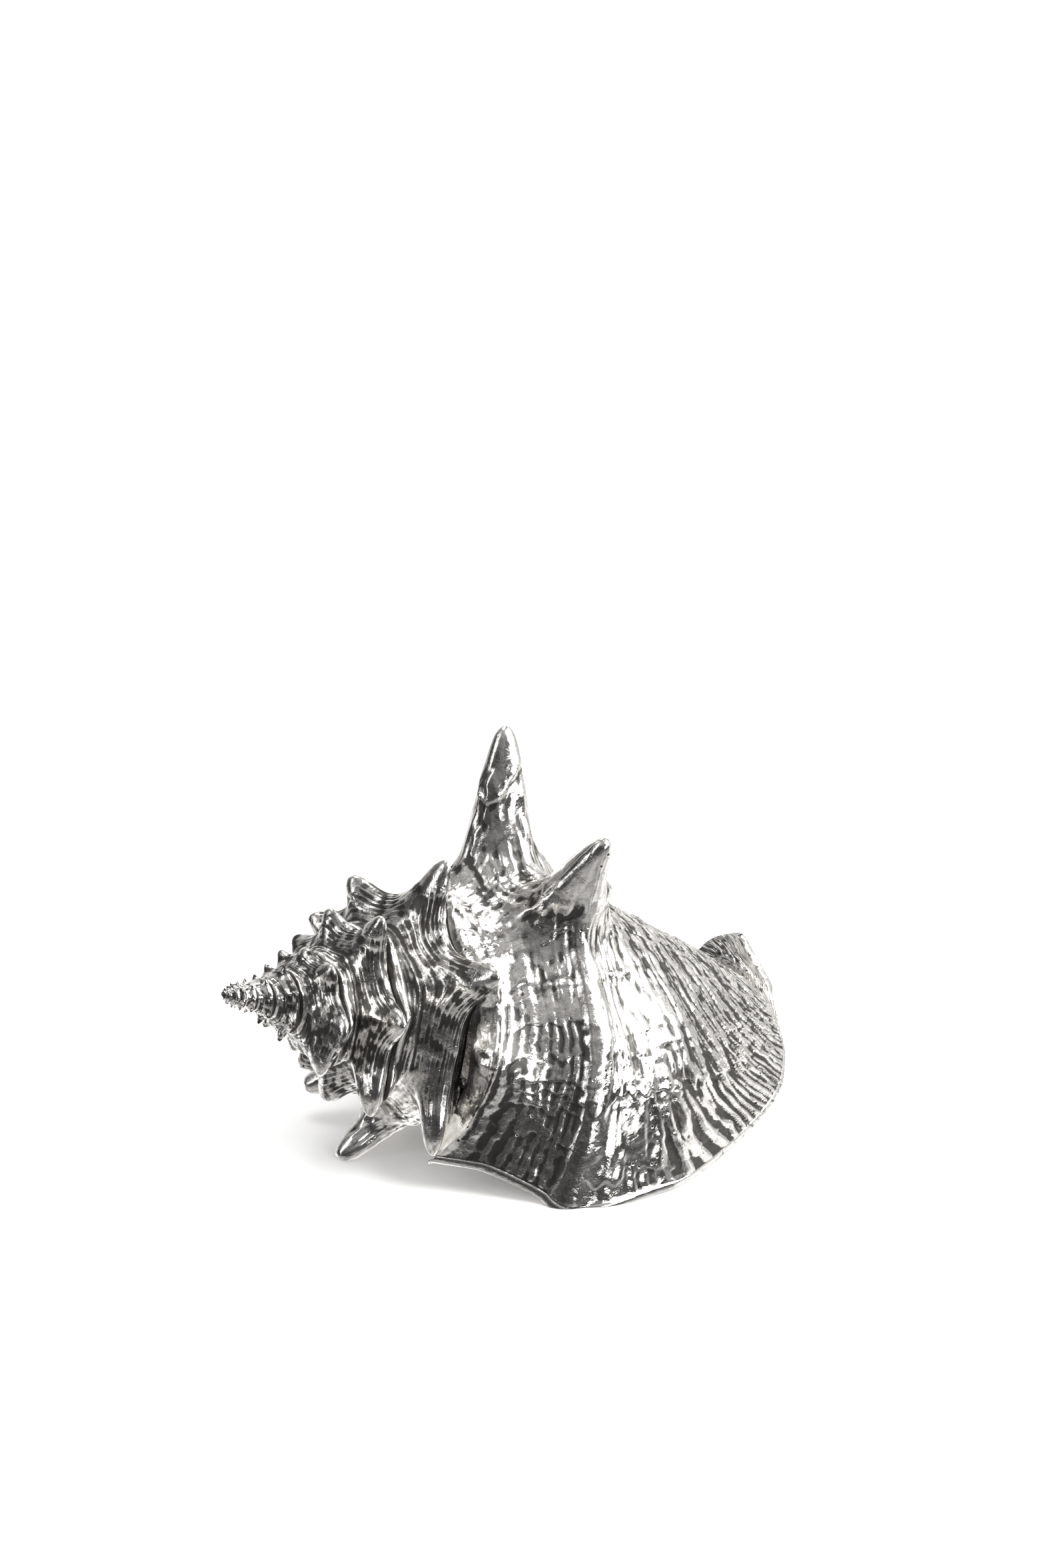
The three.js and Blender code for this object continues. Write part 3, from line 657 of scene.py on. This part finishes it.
class Build:
    """Collects grids, strips and fans of one closed piece, with a normal at each corner."""

    def __init__(self):
        self.points, self.recess, self.faces, self.normals = [], [], [], []
        self.count = 0

    def add(self, p, recess=0.0):
        p = np.asarray(p, float)
        flat = p.reshape(-1, 3)
        self.points.append(flat)
        self.recess.append(np.broadcast_to(recess, p.shape[:-1]).reshape(-1))
        first = self.count
        self.count += len(flat)
        return np.arange(first, self.count).reshape(p.shape[:-1])

    def grid(self, ids, normals, flip=False):
        corners = [ids[:-1, :-1], ids[1:, :-1], ids[1:, 1:], ids[:-1, 1:]]
        shading = [normals[:-1, :-1], normals[1:, :-1], normals[1:, 1:], normals[:-1, 1:]]
        if flip:
            corners, shading = corners[::-1], shading[::-1]
        self.faces.append(np.stack([c.reshape(-1) for c in corners], -1))
        self.normals.append(np.stack([n.reshape(-1, 3) for n in shading], 1))

    def triangles(self, tris):
        tris = np.asarray(tris)
        a, b, c = tris.T
        tris = tris[(a != b) & (b != c) & (a != c)]
        p = np.concatenate(self.points)[tris]
        flat = unit(np.cross(p[:, 1] - p[:, 0], p[:, 2] - p[:, 0]))
        self.faces.append(tris)
        self.normals.append(np.repeat(flat[:, None], 3, axis=1))

    def zipper(self, fine, coarse, flip):
        """Triangles between a fine edge and a coarse one with a vertex to each few of its own."""
        ratio = (len(fine) - 1) // (len(coarse) - 1)
        tris = []
        for j in range(len(coarse) - 1):
            for k in range(ratio):
                tris.append((fine[j * ratio + k], coarse[j], fine[j * ratio + k + 1]))
            tris.append((fine[(j + 1) * ratio], coarse[j], coarse[j + 1]))
        tris = np.array(tris)
        self.triangles(tris[:, ::-1] if flip else tris)

    def finish(self, name, material, slot, *replaced):
        sizes = np.concatenate([np.full(len(f), f.shape[1]) for f in self.faces])
        used, corners = np.unique(
            np.concatenate([f.reshape(-1) for f in self.faces]), return_inverse=True
        )
        points = to_part(np.concatenate(self.points)[used])
        points[:, 2] = np.maximum(points[:, 2], 0)
        points = points / 1000
        mesh = bpy.data.meshes.new(name)
        starts = np.concatenate([[0], np.cumsum(sizes)[:-1]])
        mesh.vertices.add(len(points))
        mesh.vertices.foreach_set("co", points.reshape(-1).astype(np.float32))
        mesh.loops.add(len(corners))
        mesh.loops.foreach_set("vertex_index", corners.astype(np.int32))
        mesh.polygons.add(len(sizes))
        mesh.polygons.foreach_set("loop_start", starts.astype(np.int32))
        mesh.update(calc_edges=True)
        mesh.polygons.foreach_set("use_smooth", np.ones(len(sizes), bool))
        # The darkening that the material reads: antique residue in the hollows, with painted shade along
        # the sutures.
        recess = mesh.attributes.new("recess", "FLOAT", "POINT")
        recess.data.foreach_set("value", np.concatenate(self.recess)[used].astype(np.float32))
        normals = np.concatenate([n.reshape(-1, 3) for n in self.normals])
        if mesh.validate():
            raise ValueError(name + " has bad faces")
        mesh.normals_split_custom_set(pitched(normals).tolist())
        mesh.materials.append(material)
        piece = bpy.data.objects.new(name, mesh)
        bpy.context.collection.objects.link(piece)
        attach(piece, "root")
        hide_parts(*replaced)
        return piece


INNER_STEP = 4  # the inner skin has a line for each few of the outer skin's
RIM_ROWS = 8
RIM_BULGE = 0.7
RIM_AHEAD = 1.6  # how far the band's lower side stands ahead of its upper side


def shell_piece(p, n, recess, growths, lanes, lip=False):
    """A closed section of wall: fine outer skin, coarse inner skin, and rims between them."""
    build = Build()
    outer = build.add(p, recess)
    g, u = growths[::INNER_STEP], lanes[::INNER_STEP]
    gg, uu = np.broadcast_arrays(g[:, None], u[None])
    inner_points = inside(gg, uu)
    inner = build.add(inner_points, 0.5)
    build.grid(outer, n)
    build.grid(inner, -grid_normals(inner_points), flip=True)
    build.zipper(outer[0], inner[0], flip=True)
    build.zipper(outer[:, 0], inner[:, 0], flip=False)
    build.zipper(outer[:, -1], inner[:, -1], flip=True)
    if lip:
        full = np.full(lanes.shape, growths[-1])
        inner_edge = inside(full, lanes)
        inner_edge[::INNER_STEP] = inner_points[-1]
        ahead = unit(p[-1] - p[-3])
        turn = np.linspace(0, 1, RIM_ROWS + 1)[1:, None, None]
        share = (1 - np.cos(np.pi * turn)) / 2
        bulge = RIM_BULGE * (1 - np.abs(2 * share - 1) ** 4)
        rim = p[-1] * (1 - share) + inner_edge * share + ahead * bulge
        rim = rim + ahead * RIM_AHEAD * share * (1 - share) * 2
        ids = build.add(rim[:-1], 0.35)
        last = build.add(rim[-1:], 0.35)
        last[0, ::INNER_STEP] = inner[-1]
        ids = np.concatenate([outer[-1:], ids, last])
        rim = np.concatenate([p[-2:], rim])
        rim_normals = grid_normals(rim)[1:]
        build.grid(ids, rim_normals)
        build.zipper(last[0], inner[-1], flip=False)
    else:
        build.zipper(outer[-1], inner[-1], flip=False)
    return build


# ---------------------------------------------------------------- metal
class Nodes:
    """A node tree that starts empty, with short calls for the nodes that are used often."""

    def __init__(self, owner):
        owner.use_nodes = True
        self.tree = owner.node_tree
        self.tree.nodes.clear()

    def new(self, kind, **settings):
        made = self.tree.nodes.new("ShaderNode" + kind)
        for key, value in settings.items():
            setattr(made, key, value)
        return made

    def feed(self, node, **inputs):
        """Give each named input a number or colour, or another node's output."""
        for key, value in inputs.items():
            self.put(node.inputs[key.replace("_", " ")], value)
        return node

    def put(self, socket, value):
        if isinstance(value, bpy.types.NodeSocket):
            self.tree.links.new(value, socket)
        else:
            socket.default_value = value

    def math(self, operation, *values, clamp=False):
        made = self.new("Math", operation=operation, use_clamp=clamp)
        for socket, value in zip(made.inputs, values):
            self.put(socket, value)
        return made.outputs[0]

    def ramp(self, value, low, high):
        """0 at low, 1 at high, smooth between."""
        made = self.new("MapRange", interpolation_type="SMOOTHSTEP", clamp=True)
        self.feed(made, Value=value, From_Min=low, From_Max=high)
        return made.outputs["Result"]

    def noise(self, where, scale, detail, rough=0.5, distortion=0.0):
        made = self.new("TexNoise", noise_dimensions="3D")
        self.feed(made, Vector=where, Scale=scale, Detail=detail)
        self.feed(made, Roughness=rough, Distortion=distortion)
        return made.outputs["Fac"]


PIT_SCALE, PIT_SHARE = 330, 0.16
# How far the residue and the painted shade darken the colour, and how much rougher residue and pits are.
RESIDUE_AND_SHADE_SHARE, RESIDUE_ROUGHER, PIT_ROUGHER = 0.95, 0.3, 0.4
BUMP_STRENGTH, BUMP_METRES = 0.5, 0.0009


def metal(name, bright, dark, roughness):
    material = bpy.data.materials.new(name)
    n = Nodes(material)
    where = n.new("TexCoord").outputs["Object"]
    recess = n.new("Attribute", attribute_name="recess").outputs["Fac"]
    blotches = n.noise(where, 95, 5, 0.62, 0.4)
    grain = n.noise(where, 620, 4, 0.6)
    crinkle = n.noise(where, 260, 5, 0.6, 0.6)

    # Dark residue of the antique finish in the relief's hollows and in broken patches beside them,
    # together with the painted shade along the sutures that the mesh's darkening carries.
    patchy = n.math("MULTIPLY", n.math("SUBTRACT", blotches, 0.5), 1.1)
    deep = n.math("ADD", recess, patchy)
    deep = n.math("ADD", deep, n.math("MULTIPLY", n.math("SUBTRACT", grain, 0.5), 0.9))
    residue_and_shade = n.ramp(deep, 0.38, 0.9)

    # Casting pits: a few small holes.
    cells = n.new("TexVoronoi", feature="F1", voronoi_dimensions="3D")
    n.feed(cells, Vector=where, Scale=PIT_SCALE)
    few = n.feed(n.new("SeparateColor"), Color=cells.outputs["Color"])
    chosen = n.math("GREATER_THAN", few.outputs[0], 1 - PIT_SHARE)
    zone = n.ramp(n.noise(where, 30, 2), 0.5, 0.62)
    hole = n.math("SUBTRACT", 1.0, n.ramp(cells.outputs["Distance"], 0.16, 0.3))
    pits = n.math("MULTIPLY", n.math("MULTIPLY", hole, chosen), zone)

    # The colour darkens with the residue and the painted shade, and in the pits.
    colour = n.new("Mix", data_type="RGBA")
    dark_share = n.math("MULTIPLY", residue_and_shade, RESIDUE_AND_SHADE_SHARE)
    for socket, value in zip(
        (colour.inputs[0], colour.inputs[6], colour.inputs[7]),
        (n.math("MAXIMUM", dark_share, pits), (*bright, 1), (*dark, 1)),
    ):
        n.put(socket, value)

    rough = n.math("MULTIPLY_ADD", residue_and_shade, RESIDUE_ROUGHER, roughness)
    rough = n.math("ADD", rough, n.math("MULTIPLY", n.ramp(blotches, 0.45, 0.7), 0.08))
    rough = n.math("ADD", rough, n.math("MULTIPLY", pits, PIT_ROUGHER), clamp=True)

    lumps = n.math("ADD", n.math("MULTIPLY", crinkle, 0.5), n.math("MULTIPLY", grain, 0.16))
    lumps = n.math("SUBTRACT", lumps, n.math("MULTIPLY", pits, 0.8))
    bump = n.feed(n.new("Bump"), Strength=BUMP_STRENGTH, Distance=BUMP_METRES, Height=lumps)

    shader = n.feed(n.new("BsdfPrincipled"), Metallic=1.0, Base_Color=colour.outputs[2])
    n.feed(shader, Roughness=rough, Normal=bump.outputs["Normal"])
    n.feed(n.new("OutputMaterial"), Surface=shader.outputs[0])
    return material


polished = metal("polished_metal", (0.84, 0.825, 0.795), (0.045, 0.043, 0.039), 0.1)
inner_metal = metal("inner_metal", (0.66, 0.65, 0.63), (0.10, 0.098, 0.092), 0.26)

# ---------------------------------------------------------------- the last whorl
WALLS = (("ventral_wall", -1, -0.62), ("dorsal_wall", -0.62, -0.26), ("outer_lip", -0.26, 0))
ROWS = 400
BODY_COLUMNS = 224
CANAL_COLUMNS = 56
EDGE_SAMPLES, EDGE_DENSER = 25, 2.6  # the rows near the lip's edge are closer together
growth_lines = [np.array([-1.0])]
for _, low, high in WALLS:
    fast, _ = speeds((low, high), (0.3, CANAL_LANE))
    if high == 0:
        fast[-EDGE_SAMPLES:] *= EDGE_DENSER
    growth_lines.append(even_stops(low, high, ROWS, fast)[1:])
growth_lines = np.concatenate(growth_lines)
_, wide = speeds((-1, 0), (0, CANAL_LANE))
lane_lines = np.concatenate(
    [
        even_stops(0, CANAL_LANE, BODY_COLUMNS, wide),
        np.linspace(CANAL_LANE, LAST_LANE, CANAL_COLUMNS + 1)[1:],
    ]
)
whole, whole_normals, whole_recess = skin(growth_lines, lane_lines)

HORNS = {
    "ventral_wall": ("tail_spine", "foot_spine", "crown_spine_1"),
    "dorsal_wall": ("dorsal_spine",),
    "outer_lip": ("shoulder_spine",),
}
for k, (name, _, high) in enumerate(WALLS):
    at = (slice(k * ROWS, (k + 1) * ROWS + 1), slice(0, BODY_COLUMNS + 1))
    build = shell_piece(
        whole[at], whole_normals[at], whole_recess[at], growth_lines[at[0]], lane_lines[at[1]], high == 0
    )
    build.finish(name + "_casting", polished, "polished_metal", name, *HORNS[name])
at = (slice(None), slice(BODY_COLUMNS, None))
build = shell_piece(
    whole[at], whole_normals[at], whole_recess[at], growth_lines, lane_lines[at[1]], lip=True
)
build.finish("siphonal_canal_casting", polished, "polished_metal", "siphonal_canal")

# ---------------------------------------------------------------- the spire
SPIRE = (
    ("whorl_2", -2, 640, 136, [f"crown_spine_{k}" for k in range(2, 8)]),
    ("whorl_3", -3, 560, 96, []),
    ("whorl_4", -4, 440, 64, []),
    ("whorl_5", -5, 320, 48, []),
)
for name, low, rows, columns, horns in SPIRE:
    fast, wide = speeds((low, low + 1), (0, SUTURE_LANE))
    growths = even_stops(low, low + 1, rows, fast)
    lanes = even_stops(0, SUTURE_LANE, columns, wide)
    build = shell_piece(*skin(growths, lanes), growths, lanes)
    build.finish(name + "_casting", polished, "polished_metal", name, *horns)


def spire_tip():
    """The solid apex: its whorls as one helical skin, closed by a fan at each end."""
    per_turn, columns, first, last = 128, 20, -9.5, -5
    apex_along, base_along = 3.4, 16
    growths = np.linspace(first, last, int((last - first) * per_turn) + 1)
    lanes = np.linspace(0, SUTURE_LANE, columns + 1)
    p, n, recess = skin(growths, lanes)
    build = Build()
    ids = build.add(p, recess)
    ids[:-per_turn, -1] = ids[per_turn:, 0]
    build.grid(ids, n)
    start = np.concatenate([ids[: per_turn + 1, 0], ids[0, -2:0:-1]])
    end = np.concatenate([ids[-per_turn - 1 :, -1], ids[-1, -2::-1]])
    for loop, along, flip in ((start, apex_along, True), (end, base_along, False)):
        centre = build.add(np.array([[along, 0.0, 0.0]]), 0.3)[0]
        tris = [(centre, a, b) for a, b in zip(loop, np.roll(loop, -1)) if a != b]
        build.triangles(np.array(tris)[:, ::-1] if flip else tris)
    build.finish("spire_tip_casting", polished, "polished_metal", "spire_tip")


spire_tip()


# ---------------------------------------------------------------- inside the opening
def inner_lip():
    growths = np.linspace(-1.32, -1, 129)
    lanes = np.linspace(SUTURE_LANE + 0.7, LAST_LANE, 161)
    build = shell_piece(*skin(growths, lanes, plain=True), growths, lanes)
    build.finish("inner_lip_casting", inner_metal, "inner_metal", "inner_lip")


def columella():
    """The core in the axis: a tapered bar with a twisted fold round it."""
    start, twist = 104, 26
    along = np.linspace(start, BAR_END, 161)[:, None]
    turn = np.linspace(0, 2 * np.pi, 65)[None]
    radius = np.interp(along, (start, 130, 180, 225, BAR_END), (8.4, 9.2, 6.4, 4.5, 3))
    fold = np.maximum(np.cos(turn - (along - start) / twist), 0) ** 3
    radius = radius * (1 + 0.1 * fold)
    along, turn = np.broadcast_arrays(along, turn)
    p = np.stack([along, radius * np.cos(turn), radius * np.sin(turn)], -1)
    p[:, -1] = p[:, 0]
    build = Build()
    ids = build.add(p[:, :-1], 0.4)
    ids = np.concatenate([ids, ids[:, :1]], axis=1)
    build.grid(ids, -grid_normals(p), flip=True)
    for ring, at, flip in ((ids[0], start, False), (ids[-1], BAR_END, True)):
        centre = build.add(np.array([[at, 0.0, 0.0]]), 0.4)[0]
        tris = np.array([(centre, a, b) for a, b in zip(ring[:-1], ring[1:])])
        build.triangles(tris if not flip else tris[:, ::-1])
    build.finish("columella_casting", inner_metal, "inner_metal", "columella")


inner_lip()
columella()

# ---------------------------------------------------------------- floor, light and camera
low, high = (Vector(v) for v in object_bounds())
centre = (low + high) / 2

VIEW_AZIMUTH, VIEW_ELEVATION = math.radians(-32.8), math.radians(24)
ca, sa = math.cos(VIEW_AZIMUTH), math.sin(VIEW_AZIMUTH)
ce, se = math.cos(VIEW_ELEVATION), math.sin(VIEW_ELEVATION)
back = Vector((sa * ce, -ca * ce, se))
right = Vector((ca, sa, 0))
up = back.cross(right)


def floor():
    mesh = bpy.data.meshes.new("floor")
    r = 9.0  # metres
    mesh.from_pydata([(-r, -r, 0), (r, -r, 0), (r, r, 0), (-r, r, 0)], [], [(0, 1, 2, 3)])
    material = bpy.data.materials.new("floor")
    material.use_nodes = True
    shader = material.node_tree.nodes["Principled BSDF"]
    shader.inputs["Base Color"].default_value = (0.93, 0.93, 0.925, 1)
    shader.inputs["Roughness"].default_value = 0.9
    shader.inputs["Specular IOR Level"].default_value = 0.0
    mesh.materials.append(material)
    plane = bpy.data.objects.new("floor", mesh)
    plane.location = (0, 0, -0.0004)
    bpy.context.collection.objects.link(plane)
    plane.visible_glossy = False
    plane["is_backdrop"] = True


def softbox(name, place, width, height, power):
    """An area light at place, in the camera's right, up and back directions, aimed at the part."""
    light = bpy.data.lights.new(name, "AREA")
    light.shape = "RECTANGLE"
    light.size, light.size_y = width, height
    light.energy = power
    lamp = bpy.data.objects.new(name, light)
    lamp.location = centre + right * place[0] + up * place[1] + back * place[2]
    lamp.rotation_mode = "QUATERNION"
    lamp.rotation_quaternion = (lamp.location - centre).to_track_quat("Z", "Y")
    bpy.context.collection.objects.link(lamp)


def studio():
    """White for the floor to see. For the metal, a room that is lighter in some directions."""
    world = bpy.data.worlds.new("studio")
    bpy.context.scene.world = world
    n = Nodes(world)
    path = n.new("LightPath")
    where = n.new("TexCoord").outputs["Generated"]

    def facing(direction, start, stop):
        """1 towards a direction, falling to 0 away from it."""
        dot = n.new("VectorMath", operation="DOT_PRODUCT")
        n.put(dot.inputs[0], where)
        n.put(dot.inputs[1], direction.normalized())
        return n.ramp(dot.outputs["Value"], start, stop)

    total = n.math("MULTIPLY_ADD", facing(Vector((0, 0, 1)), 0.1, 0.9), 0.33, 0.05)
    total = n.math("MULTIPLY_ADD", facing(-back + right * 0.3, -0.1, 0.6), 0.7, total)
    total = n.math("MULTIPLY_ADD", facing(Vector((0, 0, -1)), 0.05, 0.5), 0.42, total)
    # Furniture of the studio: lighter and darker places all round.
    spread = n.feed(n.new("MapRange"), Value=n.noise(where, 4.5, 3))
    n.feed(spread, From_Min=0.38, From_Max=0.62, To_Min=0.35, To_Max=1.75)
    uneven = n.math("MULTIPLY", total, spread.outputs["Result"])
    soft = n.feed(n.new("Background"), Strength=uneven, Color=(1, 0.99, 0.975, 1))
    white = n.feed(n.new("Background"), Strength=1.0, Color=(1, 1, 1, 1))
    pick = n.new("MixShader")
    for socket, value in zip(
        pick.inputs, (path.outputs["Is Glossy Ray"], white.outputs[0], soft.outputs[0])
    ):
        n.put(socket, value)
    n.feed(n.new("OutputWorld"), Surface=pick.outputs[0])


def camera():
    distance = 2.4
    view_height = 0.7127  # metres seen from top to bottom
    data = bpy.data.cameras.new("camera")
    data.sensor_width = 36
    data.lens = 36 * distance / view_height
    data.clip_end = 50
    made = bpy.data.objects.new("camera", data)
    made.location = centre + back * distance
    aim = centre + right * 0.0024 + up * 0.0748
    made.rotation_mode = "QUATERNION"
    made.rotation_quaternion = (made.location - aim).to_track_quat("Z", "Y")
    bpy.context.collection.objects.link(made)
    bpy.context.scene.camera = made


floor()
softbox("key", (1.2, 0.9, 0.8), 1.5, 1.7, 62)
softbox("top", (-0.35, 1.7, 0.2), 0.8, 0.7, 8)
softbox("left_card", (-1.7, 0.9, 1.1), 1.1, 1.1, 1.6)
softbox("strip", (-1.6, 0.35, 0.9), 0.25, 1.4, 3.6)
softbox("low_card", (0.8, -0.35, 1.5), 0.9, 0.4, 6)
studio()
camera()
bpy.context.scene.view_settings.view_transform = "Standard"
